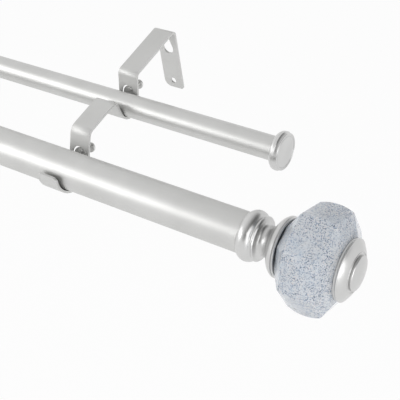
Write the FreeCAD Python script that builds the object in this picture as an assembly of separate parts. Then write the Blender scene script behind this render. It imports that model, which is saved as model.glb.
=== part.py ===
# Telescoping double curtain pole: two parallel tubes one in front of the other, carried by two bent strip
# brackets. The thick front pole ends in faceted crackle finials, the thin rear pole in flat disc caps.
# Frame: millimetres, +X along the poles towards the long outer tubes' end, +Y into the wall, +Z up.
# Origin: on the wall face of the right bracket's plate, between its two screw holes.
import FreeCAD
import Part
import math
import os

from FreeCAD import Vector

# Poles, given from the wall face and from the origin's level
front_pole_reach = 126.0
front_pole_level = -3.0
rear_pole_reach = 61.4
rear_pole_level = 7.0
front_tube_od = 25.4
front_tube_wall = 0.8
rear_tube_od = 15.9
rear_tube_wall = 0.7
telescope_clearance = 0.3
outer_tube_length = 673.0
inner_tube_showing = 38.0
tube_end_past_bracket = 144.0
tube_end_past_left_bracket = 106.0
rear_end_setback = 21.7
front_stop_gap = 61.0
rear_stop_gap = 53.0
bracket_spacing = outer_tube_length - tube_end_past_bracket - tube_end_past_left_bracket

# Bracket strip
strip_width = 16.0
strip_thickness = 1.6
plate_top = 31.6
plate_foot = -17.6
plate_left_corner_radius = 5.5
plate_right_corner_radius = 1.5
arm_slope_deg = 9.5
wall_fold_radius = 2.8
rear_bend_radius = 3.6
riser_bend_radius = 3.0
front_bend_radius = 6.0
rear_drop_lean_deg = 11.5
front_drop_lean_deg = 22.0
riser_lean_deg = 14.0
front_arm_top = 18.2
rear_cradle_play = 1.1
front_cradle_play = 2.2
cradle_seat_gap = 0.05
lip_rise_deg = 4.0
lip_straight = 2.5
lip_corner_radius = 3.0

# Holes in the wall plate
keyhole_level = 16.2
keyhole_radius = 4.4
keyhole_neck_radius = 2.2
keyhole_neck_rise = 7.5
screw_hole_level = -11.8
screw_hole_radius = 2.4

# Window with a lanced tab in each drop, and the set screw that the tab carries
window_width = 12.0
tab_side_slit = 0.4
tab_top_slit = 0.5
tab_setback = 2.0
tab_bend_radius = 1.2
tab_root = 1.2
tab_ramp_deg = 35.0
window_sill = -1.5
front_window_height = 11.3
rear_window_height = 10.3
front_screw_level = 6.2
rear_screw_level = 5.2
set_screw_radius = 1.75
set_screw_clearance = 0.05
set_screw_length = 10.2
set_screw_tip_chamfer = 0.5
set_screw_head_radius = 3.4
set_screw_head_height = 2.4
set_screw_head_edge = 1.1
set_screw_crown_radius = 2.1
set_screw_slot_width = 0.9
set_screw_slot_depth = 1.1
set_screw_tip_recess = 0.3

# Finial, measured outwards from the tube's end
socket_depth = 4.2
socket_clearance = 0.1
bead_radius = 15.6
bead_top = 0.6
bead_width = 8.5
bead_edge_height = 0.6
ridge_radius = 13.75
ridge_spacing = 2.2
ridge_width = 0.7
ridge_depth = 0.6
neck_radius = 9.5
neck_place = 10.4
neck_length = 2.0
saucer_root_place = 15.6
saucer_root_radius = 13.0
saucer_radius = 18.5
saucer_rim_place = 20.4
saucer_rim_width = 1.1
saucer_lip_width = 0.9
saucer_lip_inset = 0.3
saucer_lip_thickness = 1.5
saucer_floor_place = 16.6
body_start = 21.5
body_length = 38.0
body_middle = 43.2
body_band_half = 10.4
body_end_apothem = 28.2
body_middle_apothem = 30.0
body_root_apothem = 13.2
body_tip_apothem = 17.4
body_sides = 8
body_edge_radius = 1.2
body_spigot_radius = 11.0
cap_radius = 18.5
cap_side_width = 1.5
cap_rim_width = 1.1
cap_rim_groove = 0.35
cap_shoulder_rise = 3.2
cap_ridge_radius = 11.9
cap_ridge_width = 0.8
cap_groove_depth = 0.7
cap_button_radius = 10.4
cap_button_rise = 1.8
cap_button_edge = 0.9
cap_dome_rise = 1.2
dome_flat_radius = 0.5
stud_radius = 3.0
stud_clearance = 0.1
stud_tail = 12.0
stud_tip = 4.0

# Threaded plug inside the tube's end
plug_length = 18.0
plug_fit = 0.05
plug_rib_count = 6
plug_rib_width = 2.0
plug_rib_depth = 0.8

# Rear pole's end cap
seat_radius = 8.6
seat_width = 1.2
disc_back_step = 0.8
disc_back_bulge = 0.75
disc_radius = 12.7
disc_start = 3.8
disc_side_width = 1.6
disc_taper_width = 2.0
face_rim_radius = 12.0
face_rim_width = 0.6
face_recess = 0.3
disc_ring_radius = 10.2
disc_ring_depth = 0.2
disc_dome_rise = 0.6
spigot_length = 14.0
spigot_fit = 0.05
spigot_chamfer = 0.6


def polar(centre, radius, angle_deg):
    """Point in the bracket's side view (y, z) at an angle about a centre."""
    angle = math.radians(angle_deg)
    return (centre[0] + radius * math.cos(angle), centre[1] + radius * math.sin(angle))


def shifted(point, direction, distance):
    return (point[0] + direction[0] * distance, point[1] + direction[1] * distance)


def crossing(point_a, direction_a, point_b, direction_b):
    """Where two lines of the side view cross."""
    det = direction_a[0] * direction_b[1] - direction_a[1] * direction_b[0]
    dy = point_b[0] - point_a[0]
    dz = point_b[1] - point_a[1]
    along = (dy * direction_b[1] - dz * direction_b[0]) / det
    return shifted(point_a, direction_a, along)


def arc_corners(centre, radius, start_deg, end_deg):
    """Two corners whose fillets of that radius follow the arc from start to end."""
    quarter = (end_deg - start_deg) / 4
    reach = radius / math.cos(math.radians(quarter))
    return [polar(centre, reach, start_deg + quarter) + (radius,),
            polar(centre, reach, end_deg - quarter) + (radius,)]


def unit(start, end):
    length = math.hypot(end[0] - start[0], end[1] - start[1])
    return ((end[0] - start[0]) / length, (end[1] - start[1]) / length)


def bends(path):
    """Each inner corner of a path as its tangent points, arc centre and turning side."""
    found = []
    for before, corner, after in zip(path, path[1:], path[2:]):
        d_in = unit(before, corner)
        d_out = unit(corner, after)
        turn = math.atan2(d_in[0] * d_out[1] - d_in[1] * d_out[0], d_in[0] * d_out[0] + d_in[1] * d_out[1])
        side = 1 if turn > 0 else -1
        cut = corner[2] * math.tan(abs(turn) / 2)
        start = shifted(corner, d_in, -cut)
        centre = shifted(start, (-d_in[1] * side, d_in[0] * side), corner[2])
        found.append((start, shifted(corner, d_out, cut), centre, corner, side))
    return found


def space(point, x):
    return Vector(x, point[0], point[1])


def side_edges(path, offset, x):
    """The line that runs beside a rounded path at an offset to its left."""
    edges = []
    direction = unit(path[0], path[1])
    last = shifted(path[0], (-direction[1], direction[0]), offset)
    for start, end, centre, corner, side in bends(path):
        scale = (corner[2] - side * offset) / corner[2]
        near = shifted(centre, (start[0] - centre[0], start[1] - centre[1]), scale)
        far = shifted(centre, (end[0] - centre[0], end[1] - centre[1]), scale)
        to_corner = unit(centre, corner)
        middle = shifted(centre, to_corner, corner[2] * scale)
        if math.dist(last, near) > 1e-6:
            edges.append(Part.LineSegment(space(last, x), space(near, x)).toShape())
        edges.append(Part.Arc(space(near, x), space(middle, x), space(far, x)).toShape())
        last = far
    direction = unit(path[-2], path[-1])
    end = shifted(path[-1], (-direction[1], direction[0]), offset)
    edges.append(Part.LineSegment(space(last, x), space(end, x)).toShape())
    return edges


def bent_strip(path, width, thickness):
    """Sheet of one thickness bent along a path, centred on X = 0."""
    left = side_edges(path, thickness / 2, -width / 2)
    right = side_edges(path, -thickness / 2, -width / 2)
    foot = Part.LineSegment(right[0].Vertexes[0].Point, left[0].Vertexes[0].Point).toShape()
    tip = Part.LineSegment(right[-1].Vertexes[-1].Point, left[-1].Vertexes[-1].Point).toShape()
    outline = Part.Wire(Part.__sortEdges__(left + right + [foot, tip]))
    return Part.Face(outline).extrude(Vector(width, 0, 0))


class Cradle:
    """Half-round seat under a pole, with the drop that comes down behind it."""

    def __init__(self, reach, level, tube_od, play, lean_deg, front_lean_deg, window_height,
                 screw_level):
        self.window_height = window_height
        self.screw_level = screw_level
        self.inner_radius = tube_od / 2 + play
        self.radius = self.inner_radius + strip_thickness / 2
        self.centre = (-reach, level - tube_od / 2 - cradle_seat_gap + self.inner_radius)
        lean = math.radians(lean_deg)
        self.start_deg = -lean_deg
        self.end_deg = front_lean_deg - 180
        self.up = (math.sin(lean), math.cos(lean))
        self.out = (math.cos(lean), -math.sin(lean))
        self.drop_foot = polar(self.centre, self.radius, self.start_deg)
        self.front_foot = polar(self.centre, self.radius, self.end_deg)

    def corners(self):
        return arc_corners(self.centre, self.radius, self.start_deg, self.end_deg)

    def on_drop(self, height, setback=0.0):
        return shifted(shifted(self.drop_foot, self.up, height), self.out, setback)


rear_cradle = Cradle(rear_pole_reach, rear_pole_level, rear_tube_od, rear_cradle_play,
                     rear_drop_lean_deg, riser_lean_deg, rear_window_height, rear_screw_level)
front_cradle = Cradle(front_pole_reach, front_pole_level, front_tube_od, front_cradle_play,
                      front_drop_lean_deg, -lip_rise_deg, front_window_height, front_screw_level)
arm_direction = (-math.cos(math.radians(arm_slope_deg)), -math.sin(math.radians(arm_slope_deg)))


def strip_path():
    """Centre line of the bracket's strip, from the plate's foot to the lip in front of the front pole."""
    plate_y = -strip_thickness / 2
    riser = (-math.sin(math.radians(riser_lean_deg)), math.cos(math.radians(riser_lean_deg)))
    rear_arm_point = (plate_y, plate_top)
    front_arm_point = (rear_cradle.front_foot[0], front_arm_top)
    rear_bend = crossing(rear_arm_point, arm_direction, rear_cradle.drop_foot, rear_cradle.up)
    riser_bend = crossing(rear_cradle.front_foot, riser, front_arm_point, arm_direction)
    front_bend = crossing(front_arm_point, arm_direction, front_cradle.drop_foot, front_cradle.up)
    lip = math.radians(lip_rise_deg)
    path = [(plate_y, plate_foot)]
    path.append(rear_arm_point + (wall_fold_radius,))
    path.append(rear_bend + (rear_bend_radius,))
    path.extend(rear_cradle.corners())
    path.append(riser_bend + (riser_bend_radius,))
    path.append(front_bend + (front_bend_radius,))
    path.extend(front_cradle.corners())
    path.append(shifted(front_cradle.front_foot, (math.sin(lip), math.cos(lip)), lip_straight))
    return path


def block(low, high):
    return Part.makeBox(high[0] - low[0], high[1] - low[1], high[2] - low[2], Vector(*low))


def corner_cut(corner, inward, radius, depth):
    """What is cut away to round one corner of a plate that faces Y, from the corner in X and Z."""
    x, z = corner
    centre = (x + inward[0] * radius, z + inward[1] * radius)
    outer = (x - inward[0], z - inward[1])
    low = (min(outer[0], centre[0]), -depth, min(outer[1], centre[1]))
    high = (max(outer[0], centre[0]), depth, max(outer[1], centre[1]))
    return block(low, high).cut(Part.makeCylinder(radius, 2 * depth, Vector(centre[0], -depth, centre[1]),
                                                  Vector(0, 1, 0)))


def plate_corner_cuts():
    half = strip_width / 2
    depth = 4 * strip_thickness
    left = corner_cut((-half, plate_foot), (1, 1), plate_left_corner_radius, depth)
    right = corner_cut((half, plate_foot), (-1, 1), plate_right_corner_radius, depth)
    return left.fuse(right)


def through_plate(radius, level):
    start = Vector(0, -3 * strip_thickness, level)
    return Part.makeCylinder(radius, 6 * strip_thickness, start, Vector(0, 1, 0))


def keyhole_flanks():
    """Prism between the straight flanks of the keyhole, tangent to its head and to its neck."""
    tilt = math.asin((keyhole_radius - keyhole_neck_radius) / keyhole_neck_rise)
    head = (keyhole_radius * math.cos(tilt), keyhole_level + keyhole_radius * math.sin(tilt))
    neck = (keyhole_neck_radius * math.cos(tilt),
            keyhole_level + keyhole_neck_rise + keyhole_neck_radius * math.sin(tilt))
    outline = (head, neck, (-neck[0], neck[1]), (-head[0], head[1]), head)
    face = Part.Face(Part.makePolygon([Vector(x, -3 * strip_thickness, z) for x, z in outline]))
    return face.extrude(Vector(0, 6 * strip_thickness, 0))


def plate_holes():
    """Teardrop keyhole that hangs the plate on a screw head, and the round hole of the locking screw."""
    keyhole = through_plate(keyhole_radius, keyhole_level).fuse(keyhole_flanks())
    keyhole = keyhole.fuse(through_plate(keyhole_neck_radius, keyhole_level + keyhole_neck_rise))
    return keyhole.fuse(through_plate(screw_hole_radius, screw_hole_level))


def leaned(shape, cradle, height, setback=0.0):
    """Puts a shape that stands at the origin, Z along the drop and Y out of its back, onto the drop."""
    turned = shape.copy()
    lean_deg = -cradle.start_deg
    turned.rotate(Vector(0, 0, 0), Vector(1, 0, 0), -lean_deg)
    place = cradle.on_drop(height, setback)
    turned.translate(Vector(0, place[0], place[1]))
    return turned


def arch(width, height, depth):
    """Upright arch-topped prism on the origin, centred in depth."""
    radius = width / 2
    post = block((-radius, -depth / 2, 0), (radius, depth / 2, height - radius))
    head = Part.makeCylinder(radius, depth, Vector(0, -depth / 2, height - radius), Vector(0, 1, 0))
    return post.fuse(head)


def window_cut(cradle):
    return leaned(arch(window_width, cradle.window_height, 3 * strip_thickness), cradle, window_sill)


def tab(cradle):
    """Tongue lanced out of the window, set back from the drop and tapped for the set screw."""
    width = window_width - 2 * tab_side_slit
    ramp = math.radians(tab_ramp_deg)
    ramp_top = window_sill + tab_setback / math.tan(ramp)
    slant_loss = tab_setback / math.sin(ramp) - tab_setback / math.tan(ramp)
    top = window_sill + cradle.window_height - tab_top_slit - slant_loss
    path = [cradle.on_drop(window_sill - tab_root),
            cradle.on_drop(window_sill) + (tab_bend_radius,),
            cradle.on_drop(ramp_top, tab_setback) + (tab_bend_radius,),
            cradle.on_drop(top + strip_thickness, tab_setback)]
    blade = bent_strip(path, width, strip_thickness)
    reach = 4 * (tab_setback + strip_thickness)
    foot = window_sill - tab_root - strip_thickness
    rounding = leaned(arch(width, top - foot, reach), cradle, foot)
    hole = Part.makeCylinder(set_screw_radius + set_screw_clearance, reach, Vector(0, 0, 0), Vector(0, 1, 0))
    hole = leaned(hole, cradle, cradle.screw_level, tab_setback - reach / 2)
    return blade.common(rounding).cut(hole)


def lip_cuts():
    """What is cut away to round the two corners of the lip in front of the front pole."""
    half = strip_width / 2
    top = front_cradle.front_foot[1] + lip_straight
    depth = front_cradle.radius + 3 * strip_thickness
    cuts = corner_cut((-half, top), (1, -1), lip_corner_radius, depth)
    cuts = cuts.fuse(corner_cut((half, top), (-1, -1), lip_corner_radius, depth))
    front_half = block((-strip_width, -depth, top - lip_corner_radius), (strip_width, 0, top + strip_width))
    return cuts.common(front_half).translated(Vector(0, front_cradle.centre[0], 0))


def bracket():
    strip = bent_strip(strip_path(), strip_width, strip_thickness)
    strip = strip.cut(plate_holes()).cut(plate_corner_cuts()).cut(lip_cuts())
    for cradle in (rear_cradle, front_cradle):
        strip = strip.cut(window_cut(cradle)).fuse(tab(cradle))
    return strip.removeSplitter()


def set_screw(cradle):
    """Slotted pan-head screw through the tab, its tip in the window."""
    tip = set_screw_tip_recess
    under_head = tip + set_screw_length
    flat = set_screw_radius - set_screw_tip_chamfer
    top = under_head + set_screw_head_height
    points = [(0, tip), (flat, tip), (set_screw_radius, tip + set_screw_tip_chamfer),
              (set_screw_radius, under_head), (set_screw_head_radius, under_head),
              (set_screw_head_radius, under_head + set_screw_head_edge)]
    edges = [Part.makeLine(Vector(a[0], a[1], 0), Vector(b[0], b[1], 0)) for a, b in zip(points, points[1:])]
    shoulder = Vector(points[-1][0], points[-1][1], 0)
    brow = Vector((2 * shoulder.x + set_screw_crown_radius) / 3, (shoulder.y + 2 * top) / 3, 0)
    edges.append(Part.Arc(shoulder, brow, Vector(set_screw_crown_radius, top, 0)).toShape())
    edges.append(Part.makeLine(Vector(set_screw_crown_radius, top, 0), Vector(0, top, 0)))
    edges.append(Part.makeLine(Vector(0, top, 0), Vector(0, tip, 0)))
    screw = Part.Face(Part.Wire(edges)).revolve(Vector(0, 0, 0), Vector(0, 1, 0), 360)
    half_slot = set_screw_slot_width / 2
    slot = block((-set_screw_head_radius - 1, top - set_screw_slot_depth, -half_slot),
                 (set_screw_head_radius + 1, top + 1, half_slot))
    return leaned(screw.cut(slot), cradle, cradle.screw_level)


def tube(od, wall, start_x, end_x, reach, level):
    """Round tube along X, centred at its distance from the wall and its level."""
    base = Vector(start_x, -reach, level)
    outside = Part.makeCylinder(od / 2, end_x - start_x, base, Vector(1, 0, 0))
    inside = Part.makeCylinder(od / 2 - wall, end_x - start_x, base, Vector(1, 0, 0))
    return outside.cut(inside)


def turned(edges):
    """Solid of revolution about X from edges drawn in X and Y, with Y as the radius."""
    face = Part.Face(Part.Wire(Part.__sortEdges__(edges)))
    return face.revolve(Vector(0, 0, 0), Vector(1, 0, 0), 360)


def line(a, b):
    return Part.makeLine(Vector(a[0], a[1], 0), Vector(b[0], b[1], 0))


def curve(*points):
    """Smooth curve through points, or an arc through three."""
    vectors = [Vector(p[0], p[1], 0) for p in points]
    if len(vectors) == 3:
        return Part.Arc(*vectors).toShape()
    spline = Part.BSplineCurve()
    spline.interpolate(vectors)
    return spline.toShape()


def chain(points):
    return [line(a, b) for a, b in zip(points, points[1:])]


def finial_collar(tube_od):
    """Turned collar: bead over the tube's end, two fine ridges, hollow neck and saucer with a rolled rim."""
    socket = tube_od / 2 + socket_clearance
    bore = stud_radius + stud_clearance
    bead_start = (-socket_depth, socket + bead_edge_height)
    bead_stop = (bead_width - socket_depth, ridge_radius)
    edges = [line((-socket_depth, socket), bead_start)]
    edges.append(curve(bead_start, (bead_top, bead_radius), bead_stop))
    ridge_valley = (bead_stop[0] + ridge_spacing / 2, ridge_radius - ridge_depth)
    ridge_end = (bead_stop[0] + ridge_spacing, ridge_radius)
    edges.append(curve(bead_stop, ridge_valley, ridge_end))
    neck_start = (ridge_end[0] + ridge_width, ridge_radius - ridge_depth)
    saucer_root = (saucer_root_place, saucer_root_radius)
    edges.append(line(ridge_end, neck_start))
    edges.append(curve(neck_start, (neck_place - neck_length / 2, neck_radius),
                       (neck_place + neck_length / 2, neck_radius), saucer_root))
    edges.extend(saucer(saucer_root))
    edges.extend(chain([(saucer_floor_place, bore), (0, bore), (0, socket), (-socket_depth, socket)]))
    return turned(edges)


def saucer(root):
    """Line of the saucer: step, swelling back, rolled rim, fine groove, lip and dish."""
    inset = saucer_lip_inset
    step = (root[0] + inset, root[1] + inset / 2)
    rim = (saucer_rim_place, saucer_radius)
    swell = ((root[0] + rim[0]) / 2 - inset, (root[1] + rim[1]) / 2 + 2 * inset)
    groove = (rim[0] + saucer_rim_width, saucer_radius)
    groove_low = (groove[0] + inset, saucer_radius - 2 * inset)
    lip = (groove_low[0] + inset, saucer_radius - inset)
    lip_end = (lip[0], lip[1] - saucer_lip_thickness)
    lip_front = (lip[0] + saucer_lip_width, (lip[1] + lip_end[1]) / 2)
    floor_edge = (saucer_floor_place, body_spigot_radius + inset)
    dish = ((lip_end[0] + floor_edge[0]) / 2, (lip_end[1] + floor_edge[1]) / 2 + inset)
    edges = chain([root, step]) + chain([rim, groove, groove_low, lip])
    edges.extend([curve(step, swell, rim), curve(lip, lip_front, lip_end), curve(lip_end, dish, floor_edge)])
    edges.append(line(floor_edge, (saucer_floor_place, stud_radius + stud_clearance)))
    return edges


def facet_slab():
    """Lens-shaped slab between two opposite facets of the body, with its sloping ends."""
    band_start = body_middle - body_band_half
    band_end = body_middle + body_band_half
    body_end = body_start + body_length
    top = [(body_start, body_root_apothem), (band_start, body_end_apothem), (band_end, body_end_apothem),
           (body_end, body_tip_apothem)]
    edges = []
    for sign in (1, -1):
        a, b, c, d = [(x, sign * r) for x, r in top]
        edges.extend([line(a, b), curve(b, (body_middle, sign * body_middle_apothem), c), line(c, d)])
    edges.append(line((body_start, -body_root_apothem), (body_start, body_root_apothem)))
    edges.append(line((body_end, -body_tip_apothem), (body_end, body_tip_apothem)))
    face = Part.Face(Part.Wire(Part.__sortEdges__(edges)))
    slab = face.extrude(Vector(0, 0, 3 * body_middle_apothem))
    slab.translate(Vector(0, 0, -1.5 * body_middle_apothem))
    return slab


def finial_body():
    """Faceted barrel of crackle glass, bored for the stud, with a spigot that sits in the saucer."""
    body = facet_slab()
    for step in range(1, body_sides // 2):
        other = facet_slab()
        other.rotate(Vector(0, 0, 0), Vector(1, 0, 0), 360 / body_sides * step)
        body = body.common(other)
    body.rotate(Vector(0, 0, 0), Vector(1, 0, 0), 180 / body_sides)
    outer = [edge for edge in body.Edges if edge_reach(edge) > body_root_apothem + 1]
    body = body.makeFillet(body_edge_radius, outer)
    spigot = Part.makeCylinder(body_spigot_radius, body_start - saucer_floor_place + 1,
                               Vector(saucer_floor_place, 0, 0), Vector(1, 0, 0))
    bore = Part.makeCylinder(stud_radius + stud_clearance, body_length + body_start,
                             Vector(0, 0, 0), Vector(1, 0, 0))
    return body.fuse(spigot).cut(bore).removeSplitter()


def edge_reach(edge):
    """Distance of an edge's middle from the axis."""
    middle = edge.valueAt((edge.FirstParameter + edge.LastParameter) / 2)
    return math.hypot(middle.y, middle.z)


def finial_end_cap():
    """Stepped button that closes the finial, tapped for the stud."""
    start = body_start + body_length
    bore = stud_radius + stud_clearance
    side = start + cap_side_width
    rim = side + cap_rim_width
    shoulder = rim + cap_shoulder_rise
    groove = shoulder + cap_ridge_width - cap_groove_depth
    button = shoulder + cap_button_rise
    top = button + cap_dome_rise
    step = cap_rim_groove
    edges = chain([(start, bore), (start, cap_radius - 2 * step), (start + step, cap_radius - step),
                   (side - step, cap_radius - step), (side, cap_radius - 2 * step)])
    edges.append(curve((side, cap_radius - 2 * step), (side + cap_rim_width / 2, cap_radius),
                       (rim, cap_radius - 2 * step)))
    ridge = (shoulder, cap_ridge_radius + cap_ridge_width / 2)
    middle = ((rim + shoulder) / 2 + step / 2, (cap_radius + ridge[1]) / 2)
    edges.append(curve((rim, cap_radius - 2 * step), middle, ridge))
    edges.append(curve(ridge, (shoulder + cap_ridge_width / 2, cap_ridge_radius),
                       (shoulder, cap_ridge_radius - cap_ridge_width / 2)))
    button_side = (button - cap_button_edge, cap_button_radius)
    ridge_foot = (shoulder, cap_ridge_radius - cap_ridge_width / 2)
    edges.extend(chain([ridge_foot, (groove, cap_button_radius), button_side]))
    brow = (button, cap_button_radius - cap_button_edge)
    turn = cap_button_edge / 4
    edges.append(curve(button_side, (button - turn, cap_button_radius - turn), brow))
    edges.append(curve(brow, (top - cap_dome_rise / 4, cap_button_radius / 2), (top, dome_flat_radius)))
    socket_end = start + stud_tip + stud_clearance
    edges.extend(chain([(top, dome_flat_radius), (top, 0), (socket_end, 0), (socket_end, bore),
                        (start, bore)]))
    return turned(edges)


def finial_stud():
    """Threaded rod that ties the plug, the collar, the body and the cap together."""
    end = body_start + body_length + stud_tip
    return Part.makeCylinder(stud_radius, end + stud_tail, Vector(-stud_tail, 0, 0), Vector(1, 0, 0))


def tube_plug(tube_od, wall):
    """Ribbed plug pressed into the tube's end, tapped for the stud."""
    radius = tube_od / 2 - wall - plug_fit
    plug = Part.makeCylinder(radius, plug_length, Vector(-plug_length, 0, 0), Vector(1, 0, 0))
    for index in range(plug_rib_count):
        groove = block((-plug_length - 1, radius - plug_rib_depth, -plug_rib_width / 2),
                       (-stud_tip, radius + 1, plug_rib_width / 2))
        groove.rotate(Vector(0, 0, 0), Vector(1, 0, 0), 360 / plug_rib_count * index)
        plug = plug.cut(groove)
    bore = Part.makeCylinder(stud_radius + stud_clearance, 2 * plug_length, Vector(-2 * plug_length, 0, 0),
                             Vector(1, 0, 0))
    return plug.cut(bore)


def rear_end_cap(tube_od, wall):
    """Disc with a round back, a tapered side and a recessed face, on a spigot inside the rear tube."""
    spigot = tube_od / 2 - wall - spigot_fit
    back = (seat_width, seat_radius + disc_back_step)
    side = (disc_start, disc_radius)
    taper = (disc_start + disc_side_width, disc_radius)
    rim = (taper[0] + disc_taper_width, face_rim_radius)
    edges = chain([(-spigot_length, 0), (-spigot_length, spigot - spigot_chamfer),
                   (spigot_chamfer - spigot_length, spigot), (0, spigot), (0, seat_radius),
                   (seat_width, seat_radius), back])
    edges.append(curve(back, ((back[0] + side[0]) / 2 - disc_back_bulge / 2,
                              (back[1] + side[1]) / 2 + disc_back_bulge), side))
    edges.append(line(side, taper))
    edges.append(curve(taper, ((taper[0] + rim[0]) / 2, (taper[1] + rim[1]) / 2 - face_recess / 2), rim))
    rim_face = rim[0] + face_rim_width / 2
    floor = (rim_face - face_recess, face_rim_radius - face_rim_width - face_recess)
    edges.append(curve(rim, (rim_face, face_rim_radius - face_rim_width / 2),
                       (rim_face - face_recess / 2, face_rim_radius - face_rim_width)))
    edges.append(line((rim_face - face_recess / 2, face_rim_radius - face_rim_width), floor))
    ring_out = (floor[0] + disc_ring_depth, disc_ring_radius + disc_ring_depth)
    ring_in = (floor[0] + disc_ring_depth, disc_ring_radius - disc_ring_depth)
    edges.append(line(floor, ring_out))
    edges.append(curve(ring_out, (floor[0], disc_ring_radius), ring_in))
    top = floor[0] + disc_dome_rise
    edges.append(curve(ring_in, (top - disc_dome_rise / 5, disc_ring_radius / 2), (top, dome_flat_radius)))
    edges.extend(chain([(top, dome_flat_radius), (top, 0), (-spigot_length, 0)]))
    return turned(edges)


def placed(shape, x, reach, level, mirrored=False):
    """Moves a shape made about the X axis to a pole's end, facing the other way on the left."""
    moved = shape.copy()
    if mirrored:
        moved.rotate(Vector(0, 0, 0), Vector(0, 0, 1), 180)
    moved.translate(Vector(x, -reach, level))
    return moved


def finial(tube_od, wall):
    return {"tube_plug": tube_plug(tube_od, wall), "finial_collar": finial_collar(tube_od),
            "finial_body": finial_body(), "finial_end_cap": finial_end_cap(), "finial_stud": finial_stud()}


def telescope(od, wall, reach, level, setback, stop_gap):
    """Outer tube and the inner one that slides in it, with the places and diameters of their far ends."""
    right = tube_end_past_bracket - setback
    outer_left = tube_end_past_bracket - outer_tube_length + setback
    left = outer_left - inner_tube_showing
    inner_od = od - 2 * (wall + telescope_clearance)
    outer = tube(od, wall, outer_left, right, reach, level)
    inner = tube(inner_od, wall, left, right - stop_gap, reach, level)
    return outer, inner, right, left, inner_od


def front_pole():
    """Outer and inner tube of the front pole with a finial on each end."""
    outer, inner, right, left, inner_od = telescope(front_tube_od, front_tube_wall, front_pole_reach,
                                                    front_pole_level, 0, front_stop_gap)
    nodes = {"front_tube_outer": outer, "front_tube_inner": inner}
    for name, shape in finial(front_tube_od, front_tube_wall).items():
        nodes[name + "_right"] = placed(shape, right, front_pole_reach, front_pole_level)
    for name, shape in finial(inner_od, front_tube_wall).items():
        nodes[name + "_left"] = placed(shape, left, front_pole_reach, front_pole_level, mirrored=True)
    return nodes


def rear_pole():
    """Outer and inner tube of the rear pole with a disc cap in each end."""
    outer, inner, right, left, inner_od = telescope(rear_tube_od, rear_tube_wall, rear_pole_reach,
                                                    rear_pole_level, rear_end_setback, rear_stop_gap)
    nodes = {"rear_tube_outer": outer, "rear_tube_inner": inner}
    nodes["rear_end_cap_right"] = placed(rear_end_cap(rear_tube_od, rear_tube_wall), right,
                                         rear_pole_reach, rear_pole_level)
    nodes["rear_end_cap_left"] = placed(rear_end_cap(inner_od, rear_tube_wall), left,
                                        rear_pole_reach, rear_pole_level, mirrored=True)
    return nodes


def bracket_set():
    """Both brackets with their set screws."""
    pieces = {"bracket": bracket(), "set_screw_front": set_screw(front_cradle),
              "set_screw_rear": set_screw(rear_cradle)}
    nodes = {}
    for name, shape in pieces.items():
        nodes[name + "_right"] = shape
        nodes[name + "_left"] = shape.translated(Vector(-bracket_spacing, 0, 0))
    return nodes


def main():
    os.makedirs("parts", exist_ok=True)
    nodes = {}
    nodes.update(bracket_set())
    nodes.update(front_pole())
    nodes.update(rear_pole())
    for name, shape in nodes.items():
        solid = shape.Solids[0] if len(shape.Solids) == 1 else shape
        print(f"{name}: valid {solid.isValid()}, solids {len(shape.Solids)}, volume {solid.Volume:.1f} mm3")
        solid.exportStep(f"parts/{name}.step")


main()
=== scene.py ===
import math

import bmesh
import bpy
from mathutils import Matrix, Vector, noise


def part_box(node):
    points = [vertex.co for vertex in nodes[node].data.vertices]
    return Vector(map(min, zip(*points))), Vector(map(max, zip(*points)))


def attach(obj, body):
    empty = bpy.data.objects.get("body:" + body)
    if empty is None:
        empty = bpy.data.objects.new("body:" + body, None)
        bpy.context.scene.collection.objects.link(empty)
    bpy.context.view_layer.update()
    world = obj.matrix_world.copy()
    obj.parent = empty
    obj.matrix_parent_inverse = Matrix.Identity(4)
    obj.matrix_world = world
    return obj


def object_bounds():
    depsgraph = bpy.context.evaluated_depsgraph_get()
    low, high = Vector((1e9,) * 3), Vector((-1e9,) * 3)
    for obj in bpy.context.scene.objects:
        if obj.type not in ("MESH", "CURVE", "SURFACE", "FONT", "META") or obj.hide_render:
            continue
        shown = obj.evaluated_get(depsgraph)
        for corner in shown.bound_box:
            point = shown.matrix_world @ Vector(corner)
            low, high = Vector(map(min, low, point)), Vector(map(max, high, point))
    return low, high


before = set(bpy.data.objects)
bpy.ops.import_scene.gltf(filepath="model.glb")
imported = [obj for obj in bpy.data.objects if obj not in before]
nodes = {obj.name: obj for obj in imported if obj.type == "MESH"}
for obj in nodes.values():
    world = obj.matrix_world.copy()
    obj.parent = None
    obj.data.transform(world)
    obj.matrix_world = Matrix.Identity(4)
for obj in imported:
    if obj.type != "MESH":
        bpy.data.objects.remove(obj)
bpy.context.view_layer.update()
cad_box = [list(corner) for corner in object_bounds()]

# Camera, in the part's frame: metres, degrees and, for lens and sensor, millimetres
camera_place = (0.356724, -0.427307, 0.348732)
camera_azimuth = 39.41
camera_elevation = 40.88
camera_roll = -9.14
camera_lens = 79.43
camera_sensor = 36.0
camera_near = 0.01
camera_far = 50.0

# Floor, sky and lamps: metres and watts. Greys run from 0 to 1, heights are the sine of the elevation.
floor_drop = 0.40
floor_half = 20.0
floor_grey = 0.86
floor_glow_share = 0.93
sky_bright_side = (-0.95, 0.0, 0.30)
sky_side_greys = [(0.42, 0.08), (0.70, 0.74), (0.9, 1.0)]
sky_white_height = 0.24
sky_grey_height = 0.38
lamp_aim = (0.05, -0.09, 0.0)
key_lamp = {"direction": (-0.70, -0.57, 0.425), "distance": 1.7, "width": 1.3, "height": 0.7, "watts": 7.0}
fill_lamp = {"direction": (0.95, -0.40, 0.35), "distance": 2.2, "width": 1.8, "height": 2.2, "watts": 26.0}

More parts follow.
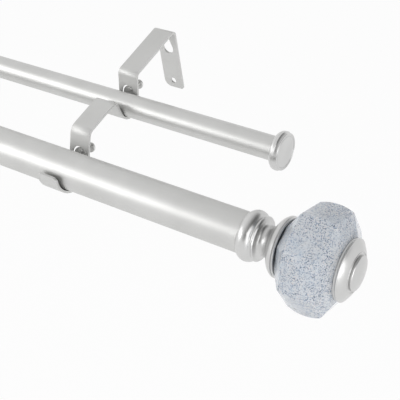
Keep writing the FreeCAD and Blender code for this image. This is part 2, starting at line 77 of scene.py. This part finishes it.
# Patterns in the materials: scales are counts per metre, depths are metres
metal_cloud_scale = 45.0
metal_flake_scale = 5200.0
metal_gloss_spread = 0.04
plate_mark_scale = 900.0
plate_mark_depth = 0.00002
nylon_grain_scale = 1500.0
nylon_grain_depth = 0.00004
skin_chip_scale = 2000.0
skin_wave_scale = 160.0
skin_wave_depth = 0.0006
core_chip_scale = 1100.0
core_grain_scale = 1900.0
core_grain_share = 0.5
core_relief_depth = 0.0012
chip_warp_scale = 420.0
chip_warp = 0.0014
fibre_scale_share = 0.6
fibre_share = 0.5
cloud_scale = 95.0
veil_scale = 110.0
veil_share = 0.6

# Crackle core: shares of the clear body around it, and metres
core_rings = 110
core_spokes = 176
core_sides = 8
core_width_share = 0.84
core_start_share = 0.114
core_end_gap = 0.0022
core_break_depth = 0.00035
core_lump_scale = 700.0
core_splinter_scale = 1900.0
core_splinter_share = 0.6
core_roundness = 0.25
core_corner_swell = 0.04
core_smooth_share = 0.5

# Core's width along its length, both as shares: sloping ends and a crowned middle band
core_profile = [(0.0, 0.50), (0.06, 0.56), (0.29, 0.955), (0.43, 0.995), (0.57, 1.0), (0.71, 0.985),
                (0.84, 0.955), (0.96, 0.62), (1.0, 0.52)]

# Paint on the strips' sheared edges, in metres and degrees
paint_edge_radius = 0.00018
paint_edge_angle = 50.0
weld_distance = 1e-6


def grey(level):
    """Colour without hue."""
    return (level, level, level)


def new_material(name):
    """Empty node material with its Principled shader."""
    material = bpy.data.materials.new(name)
    material.use_nodes = True
    tree = material.node_tree
    tree.nodes.clear()
    output = tree.nodes.new("ShaderNodeOutputMaterial")
    shader = tree.nodes.new("ShaderNodeBsdfPrincipled")
    tree.links.new(shader.outputs["BSDF"], output.inputs["Surface"])
    return material, tree, shader


def set_inputs(node, **values):
    """Sets a node's sockets from keywords, with underscores for the spaces."""
    for name, value in values.items():
        node.inputs[name.replace("_", " ")].default_value = value


def object_point(tree, scale=(1.0, 1.0, 1.0)):
    """Object coordinates, which ride with the piece, stretched by a scale."""
    coordinates = tree.nodes.new("ShaderNodeTexCoord")
    mapping = tree.nodes.new("ShaderNodeMapping")
    mapping.inputs["Scale"].default_value = scale
    tree.links.new(coordinates.outputs["Object"], mapping.inputs["Vector"])
    return mapping.outputs["Vector"]


def noise_at(tree, vector, scale, detail=3.0, roughness=0.5):
    """Noise texture at a point."""
    texture = tree.nodes.new("ShaderNodeTexNoise")
    set_inputs(texture, Scale=scale, Detail=detail, Roughness=roughness)
    tree.links.new(vector, texture.inputs["Vector"])
    return texture


def cells_at(tree, vector, scale, feature="F1"):
    """Cell texture at a point."""
    texture = tree.nodes.new("ShaderNodeTexVoronoi")
    texture.feature = feature
    texture.inputs["Scale"].default_value = scale
    tree.links.new(vector, texture.inputs["Vector"])
    return texture


def ramp(tree, factor, stops):
    """Colour ramp from a list of (place, colour)."""
    node = tree.nodes.new("ShaderNodeValToRGB")
    elements = node.color_ramp.elements
    for element, (place, colour) in zip(elements, (stops[0], stops[-1])):
        element.position, element.color = place, (*colour, 1)
    for place, colour in stops[1:-1]:
        elements.new(place).color = (*colour, 1)
    tree.links.new(factor, node.inputs["Fac"])
    return node.outputs["Color"]


def span(tree, value, low, high, start=0.0, end=1.0):
    """Turns start to end into low to high, and holds the ends beyond them."""
    node = tree.nodes.new("ShaderNodeMapRange")
    set_inputs(node, From_Min=start, From_Max=end, To_Min=low, To_Max=high)
    tree.links.new(value, node.inputs["Value"])
    return node.outputs["Result"]


def sum_of(tree, a, b, share):
    """a plus share times b."""
    node = tree.nodes.new("ShaderNodeMath")
    node.operation = "MULTIPLY_ADD"
    node.inputs[1].default_value = share
    tree.links.new(b, node.inputs[0])
    tree.links.new(a, node.inputs[2])
    return node.outputs[0]


def mix_colours(tree, factor, a, b):
    """Colour a where the factor is 0, b where it is 1."""
    node = tree.nodes.new("ShaderNodeMix")
    node.data_type = "RGBA"
    tree.links.new(factor, node.inputs["Factor"])
    tree.links.new(a, node.inputs["A"])
    tree.links.new(b, node.inputs["B"])
    return node.outputs["Result"]


def bump(tree, shader, height, depth):
    """Fine relief in the shading."""
    node = tree.nodes.new("ShaderNodeBump")
    node.inputs["Distance"].default_value = depth
    tree.links.new(height, node.inputs["Height"])
    tree.links.new(node.outputs["Normal"], shader.inputs["Normal"])


def satin_metal(name, light, dark, metallic, roughness, flake_depth):
    """Sprayed satin silver: fine metal flake, slightly cloudy."""
    material, tree, shader = new_material(name)
    point = object_point(tree)
    cloud = noise_at(tree, point, metal_cloud_scale, 4.0).outputs["Fac"]
    flake = noise_at(tree, point, metal_flake_scale, 1.0).outputs["Fac"]
    gloss = span(tree, flake, roughness - metal_gloss_spread, roughness + metal_gloss_spread)
    tree.links.new(ramp(tree, cloud, [(0.3, dark), (0.7, light)]), shader.inputs["Base Color"])
    tree.links.new(gloss, shader.inputs["Roughness"])
    shader.inputs["Metallic"].default_value = metallic
    bump(tree, shader, flake, flake_depth)
    return material


def plated_steel(name, light, dark, roughness, mark_stretch):
    """Plain plated steel with fine marks, finer along the axis with the larger stretch."""
    material, tree, shader = new_material(name)
    point = object_point(tree, mark_stretch)
    marks = noise_at(tree, point, plate_mark_scale, 5.0, 0.7).outputs["Fac"]
    tree.links.new(ramp(tree, marks, [(0.25, dark), (0.75, light)]), shader.inputs["Base Color"])
    tree.links.new(span(tree, marks, roughness - 0.08, roughness + 0.1), shader.inputs["Roughness"])
    shader.inputs["Metallic"].default_value = 1.0
    bump(tree, shader, marks, plate_mark_depth)
    return material


def nylon():
    """Natural nylon, slightly milky, with a moulded grain."""
    material, tree, shader = new_material("plug_nylon")
    grain = noise_at(tree, object_point(tree), nylon_grain_scale).outputs["Fac"]
    tones = [(0.3, (0.70, 0.70, 0.67)), (0.7, (0.80, 0.80, 0.77))]
    tree.links.new(ramp(tree, grain, tones), shader.inputs["Base Color"])
    tree.links.new(span(tree, grain, 0.45, 0.6), shader.inputs["Roughness"])
    bump(tree, shader, grain, nylon_grain_depth)
    return material


def chip_place(tree, point):
    """The point, shifted by a noise, so that the chips have ragged outlines."""
    warp = noise_at(tree, point, chip_warp_scale, 3.0, 0.6)
    shifted = tree.nodes.new("ShaderNodeVectorMath")
    shifted.operation = "MULTIPLY_ADD"
    shifted.inputs[1].default_value = (chip_warp, chip_warp, chip_warp)
    tree.links.new(warp.outputs["Color"], shifted.inputs[0])
    tree.links.new(point, shifted.inputs[2])
    return shifted.outputs["Vector"]


def chip_and_glint_colours(tree, point, place, scale, stops, clouds):
    """Colours of ragged chips and fibres, veiled in patches by paler clouds. The stops' pink and pure
    white chips are painted glints.
    """
    chips = tree.nodes.new("ShaderNodeSeparateColor")
    tree.links.new(cells_at(tree, place, scale).outputs["Color"], chips.inputs["Color"])
    fibres = noise_at(tree, place, scale * fibre_scale_share, 5.0, 0.75).outputs["Fac"]
    veil = noise_at(tree, point, veil_scale, 4.0, 0.6).outputs["Fac"]
    cloud = noise_at(tree, point, cloud_scale, 4.0, 0.6).outputs["Fac"]
    fibre_tone = span(tree, fibres, 0.0, fibre_share, 0.3, 0.7)
    tone = sum_of(tree, fibre_tone, chips.outputs["Red"], 1.0 - fibre_share)
    share = span(tree, veil, 0.0, veil_share, 0.45, 0.68)
    return mix_colours(tree, share, ramp(tree, tone, stops), ramp(tree, cloud, clouds))


def clear_skin():
    """Hazy clear outer layer of the crackle body, with fine chips in it and a gently wavy face."""
    material, tree, shader = new_material("clear_skin")
    point = object_point(tree)
    # The pink and the pure white chips in these stops are painted glints.
    stops = [(0.14, (0.02, 0.03, 0.07)), (0.31, (0.30, 0.36, 0.45)), (0.42, (0.68, 0.77, 0.89)),
             (0.53, (0.98, 0.99, 1.0)), (0.76, (1.0, 1.0, 1.0)), (0.83, (1.0, 0.76, 0.70)),
             (0.90, (1.0, 1.0, 1.0))]
    clouds = [(0.35, (0.72, 0.82, 0.94)), (0.65, (0.98, 0.99, 1.0))]
    colours = chip_and_glint_colours(tree, point, chip_place(tree, point), skin_chip_scale, stops, clouds)
    waves = noise_at(tree, point, skin_wave_scale).outputs["Fac"]
    tree.links.new(colours, shader.inputs["Base Color"])
    tree.links.new(span(tree, waves, 0.02, 0.08), shader.inputs["Roughness"])
    set_inputs(shader, Transmission_Weight=0.50, IOR=1.1, Coat_Weight=0.5, Coat_Roughness=0.15)
    bump(tree, shader, waves, skin_wave_depth)
    return material


def crackle():
    """Crushed, fractured core: pale chips with dark blue, and faint pink and white painted glints."""
    material, tree, shader = new_material("crackle_core")
    point = object_point(tree)
    place = chip_place(tree, point)
    # The faint pink and the pure white at the top of these stops are painted glints.
    stops = [(0.0, (0.06, 0.10, 0.22)), (0.2, (0.34, 0.42, 0.55)), (0.40, (0.76, 0.82, 0.89)),
             (0.70, (0.96, 0.98, 1.0)), (0.94, (0.99, 0.89, 0.86)), (1.0, (1.0, 1.0, 1.0))]
    clouds = [(0.35, (0.70, 0.78, 0.88)), (0.65, (0.94, 0.97, 1.0))]
    colours = chip_and_glint_colours(tree, point, place, core_chip_scale, stops, clouds)
    edges = cells_at(tree, place, core_chip_scale, "DISTANCE_TO_EDGE").outputs["Distance"]
    grain = noise_at(tree, point, core_grain_scale).outputs["Fac"]
    tree.links.new(colours, shader.inputs["Base Color"])
    shader.inputs["Roughness"].default_value = 0.35
    bump(tree, shader, sum_of(tree, edges, grain, core_grain_share), core_relief_depth)
    return material


def spoke_reach(angle):
    """Radius of a softened octagon with unit apothem at an angle."""
    sector = 2 * math.pi / core_sides
    off = (angle + sector / 2) % sector - sector / 2
    flat = 1 / math.cos(off)
    round_part = 1 + core_corner_swell * (1 - math.cos(core_sides * off)) / 2
    return (1 - core_roundness) * flat + core_roundness * round_part


def core_apothem(share, widest):
    """Apothem of the core at a share of its length."""
    for (x0, r0), (x1, r1) in zip(core_profile, core_profile[1:]):
        if share <= x1:
            straight = (share - x0) / (x1 - x0)
            smooth = straight * straight * (3 - 2 * straight)
            blend = smooth * core_smooth_share + straight * (1 - core_smooth_share)
            return widest * (r0 + (r1 - r0) * blend)
    return widest * core_profile[-1][1]


def core_point(x, centre, radius, angle):
    """Point of the core's broken surface, around the body's axis."""
    point = Vector((x, centre[0] + radius * math.cos(angle), centre[1] + radius * math.sin(angle)))
    away = (point - Vector((point.x, *centre))).normalized()
    lumps = noise.noise(point * core_lump_scale)
    splinters = noise.noise(point * core_splinter_scale)
    return point + away * (lumps + core_splinter_share * splinters) * core_break_depth


def core_ring(x, centre, apothem):
    """One ring of points around the body's axis."""
    angles = [2 * math.pi * spoke / core_spokes for spoke in range(core_spokes)]
    return [core_point(x, centre, apothem * spoke_reach(angle), angle) for angle in angles]


def closed_barrel(rings):
    """Mesh through equal rings of points, with a face on each end."""
    mesh = bmesh.new()
    loops = [[mesh.verts.new(point) for point in ring] for ring in rings]
    for near, far in zip(loops, loops[1:]):
        for spoke in range(core_spokes):
            after = (spoke + 1) % core_spokes
            mesh.faces.new((near[spoke], near[after], far[after], far[spoke]))
    mesh.faces.new(list(reversed(loops[0])))
    mesh.faces.new(loops[-1])
    bmesh.ops.recalc_face_normals(mesh, faces=mesh.faces)
    return mesh


def new_piece(name, mesh, material):
    """Object from a bmesh, in one material."""
    data = bpy.data.meshes.new(name)
    mesh.to_mesh(data)
    mesh.free()
    data.materials.append(material)
    piece = bpy.data.objects.new(name, data)
    bpy.context.scene.collection.objects.link(piece)
    return piece


def crackle_barrel(side, material):
    """Crackle core inside one finial body, which rides on that body's mover."""
    low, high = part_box("finial_body_" + side)
    start, outward = (low.x, 1) if side == "right" else (high.x, -1)
    length = high.x - low.x
    centre = ((low.y + high.y) / 2, (low.z + high.z) / 2)
    widest = (high.z - low.z) / 2 * core_width_share
    begin = length * core_start_share + core_end_gap
    reach = length - begin - core_end_gap
    shares = [index / (core_rings - 1) for index in range(core_rings)]
    rings = [core_ring(start + outward * (begin + share * reach), centre, core_apothem(share, widest))
             for share in shares]
    core = new_piece("crackle_core_" + side, closed_barrel(rings), material)
    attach(core, "root" if side == "right" else "front_pole_slider")


def dress(name, material):
    """Gives a CAD node its finish."""
    data = nodes[name].data
    data.materials.clear()
    data.materials.append(material)


def dress_all():
    """One finish for each node, by the start of its name."""
    pole = satin_metal("pole_satin", light=(0.64, 0.64, 0.63), dark=(0.59, 0.59, 0.58),
                       metallic=0.85, roughness=0.42, flake_depth=0.000012)
    fitting = satin_metal("fitting_satin", light=(0.65, 0.65, 0.645), dark=(0.58, 0.58, 0.575),
                          metallic=0.95, roughness=0.32, flake_depth=0.000012)
    strip = satin_metal("bracket_paint", light=(0.64, 0.64, 0.63), dark=(0.60, 0.60, 0.59),
                        metallic=0.70, roughness=0.50, flake_depth=0.000016)
    nickel = plated_steel("screw_nickel", light=(0.74, 0.74, 0.73), dark=(0.64, 0.64, 0.63),
                          roughness=0.40, mark_stretch=(1, 1, 1))
    zinc = plated_steel("stud_steel", light=(0.55, 0.55, 0.55), dark=(0.42, 0.42, 0.42),
                        roughness=0.3, mark_stretch=(6, 1, 1))
    finishes = {"bracket": strip, "set_screw": nickel, "front_tube": pole, "rear_tube": pole,
                "tube_plug": nylon(), "finial_collar": fitting, "finial_body": clear_skin(),
                "finial_end_cap": fitting, "finial_stud": zinc, "rear_end_cap": fitting}
    for name in nodes:
        for start, material in finishes.items():
            if name.startswith(start):
                dress(name, material)


def soft_edges(name):
    """Rounds the sheared edges of a sheet piece a little, as paint does."""
    piece = nodes[name]
    weld = piece.modifiers.new("weld", "WELD")
    weld.merge_threshold = weld_distance
    bevel = piece.modifiers.new("bevel", "BEVEL")
    bevel.width = paint_edge_radius
    bevel.segments = 2
    bevel.limit_method = "ANGLE"
    bevel.angle_limit = math.radians(paint_edge_angle)
    bevel.harden_normals = True


def any_ray(tree, *names):
    """1 for rays of the named kinds."""
    path = tree.nodes.new("ShaderNodeLightPath")
    total = path.outputs[names[0]]
    for name in names[1:]:
        node = tree.nodes.new("ShaderNodeMath")
        node.operation = "MAXIMUM"
        tree.links.new(total, node.inputs[0])
        tree.links.new(path.outputs[name], node.inputs[1])
        total = node.outputs[0]
    return total


def floor_material():
    """Pale matt floor that looks white to the camera, in metal and through glass."""
    material = bpy.data.materials.new("floor")
    material.use_nodes = True
    tree = material.node_tree
    tree.nodes.clear()
    output = tree.nodes.new("ShaderNodeOutputMaterial")
    diffuse = tree.nodes.new("ShaderNodeBsdfDiffuse")
    diffuse.inputs["Color"].default_value = (*grey(floor_grey), 1)
    glow = tree.nodes.new("ShaderNodeEmission")
    glow.inputs["Strength"].default_value = 1.0
    mix = tree.nodes.new("ShaderNodeMixShader")
    seen = any_ray(tree, "Is Camera Ray", "Is Glossy Ray", "Is Transmission Ray")
    tree.links.new(span(tree, seen, 0.0, floor_glow_share), mix.inputs["Fac"])
    tree.links.new(diffuse.outputs["BSDF"], mix.inputs[1])
    tree.links.new(glow.outputs["Emission"], mix.inputs[2])
    tree.links.new(mix.outputs["Shader"], output.inputs["Surface"])
    return material


def floor():
    """Wide floor below the part, which takes its shadow."""
    level = cad_box[0][2] - floor_drop
    corners = [(-floor_half, -floor_half), (floor_half, -floor_half), (floor_half, floor_half),
               (-floor_half, floor_half)]
    mesh = bmesh.new()
    mesh.faces.new([mesh.verts.new((x, y, level)) for x, y in corners])
    new_piece("floor", mesh, floor_material())


def sky_side_colour(tree, direction):
    """White towards the lit side, falling to dark grey on the other."""
    facing = tree.nodes.new("ShaderNodeVectorMath")
    facing.operation = "DOT_PRODUCT"
    facing.inputs[1].default_value = Vector(sky_bright_side).normalized()
    tree.links.new(direction, facing.inputs[0])
    side = span(tree, facing.outputs["Value"], 0.0, 1.0, -1.0, 1.0)
    return ramp(tree, side, [(place, grey(level)) for place, level in sky_side_greys])


def sky_colour(tree):
    """White near the horizon, and each side's own grey above it."""
    coordinates = tree.nodes.new("ShaderNodeTexCoord")
    direction = coordinates.outputs["Generated"]
    height = tree.nodes.new("ShaderNodeSeparateXYZ")
    tree.links.new(direction, height.inputs["Vector"])
    rise = ramp(tree, height.outputs["Z"], [(sky_white_height, grey(0.0)), (sky_grey_height, grey(1.0))])
    blend = tree.nodes.new("ShaderNodeMix")
    blend.data_type = "RGBA"
    blend.inputs["A"].default_value = (*grey(1.0), 1)
    tree.links.new(rise, blend.inputs["Factor"])
    tree.links.new(sky_side_colour(tree, direction), blend.inputs["B"])
    return blend.outputs["Result"]


def sky():
    """Plain studio sky, which lights the part and shows in its metal."""
    world = bpy.data.worlds.new("studio")
    bpy.context.scene.world = world
    world.use_nodes = True
    tree = world.node_tree
    tree.nodes.clear()
    output = tree.nodes.new("ShaderNodeOutputWorld")
    background = tree.nodes.new("ShaderNodeBackground")
    background.inputs["Strength"].default_value = 1.0
    tree.links.new(sky_colour(tree), background.inputs["Color"])
    tree.links.new(background.outputs["Background"], output.inputs["Surface"])


def softbox(name, direction, distance, width, height, watts):
    """Rectangular lamp that faces the poles' right part."""
    aim = Vector(lamp_aim)
    place = aim + Vector(direction).normalized() * distance
    data = bpy.data.lights.new(name, "AREA")
    data.shape = "RECTANGLE"
    data.size, data.size_y = width, height
    data.energy = watts
    lamp = bpy.data.objects.new(name, data)
    lamp.location = place
    lamp.rotation_mode = "QUATERNION"
    lamp.rotation_quaternion = (aim - place).to_track_quat("-Z", "Y")
    bpy.context.scene.collection.objects.link(lamp)


def camera():
    """Camera at the photograph's place, turned about its own axis by the roll."""
    azimuth, elevation = math.radians(camera_azimuth), math.radians(camera_elevation)
    back = Vector((math.sin(azimuth) * math.cos(elevation), -math.cos(azimuth) * math.cos(elevation),
                   math.sin(elevation)))
    right = Vector((math.cos(azimuth), math.sin(azimuth), 0))
    roll = Matrix.Rotation(math.radians(camera_roll), 3, back)
    data = bpy.data.cameras.new("camera")
    data.lens, data.sensor_width = camera_lens, camera_sensor
    data.clip_start, data.clip_end = camera_near, camera_far
    eye = bpy.data.objects.new("camera", data)
    eye.location = camera_place
    eye.rotation_mode = "QUATERNION"
    axes = Matrix((roll @ right, roll @ back.cross(right), back)).transposed()
    eye.rotation_quaternion = axes.to_quaternion()
    bpy.context.scene.collection.objects.link(eye)
    bpy.context.scene.camera = eye


dress_all()
core_glass = crackle()
for side in ("right", "left"):
    crackle_barrel(side, core_glass)
    soft_edges("bracket_" + side)
floor()
sky()
softbox("key", **key_lamp)
softbox("fill", **fill_lamp)
camera()
bpy.context.scene.view_settings.view_transform = "Standard"
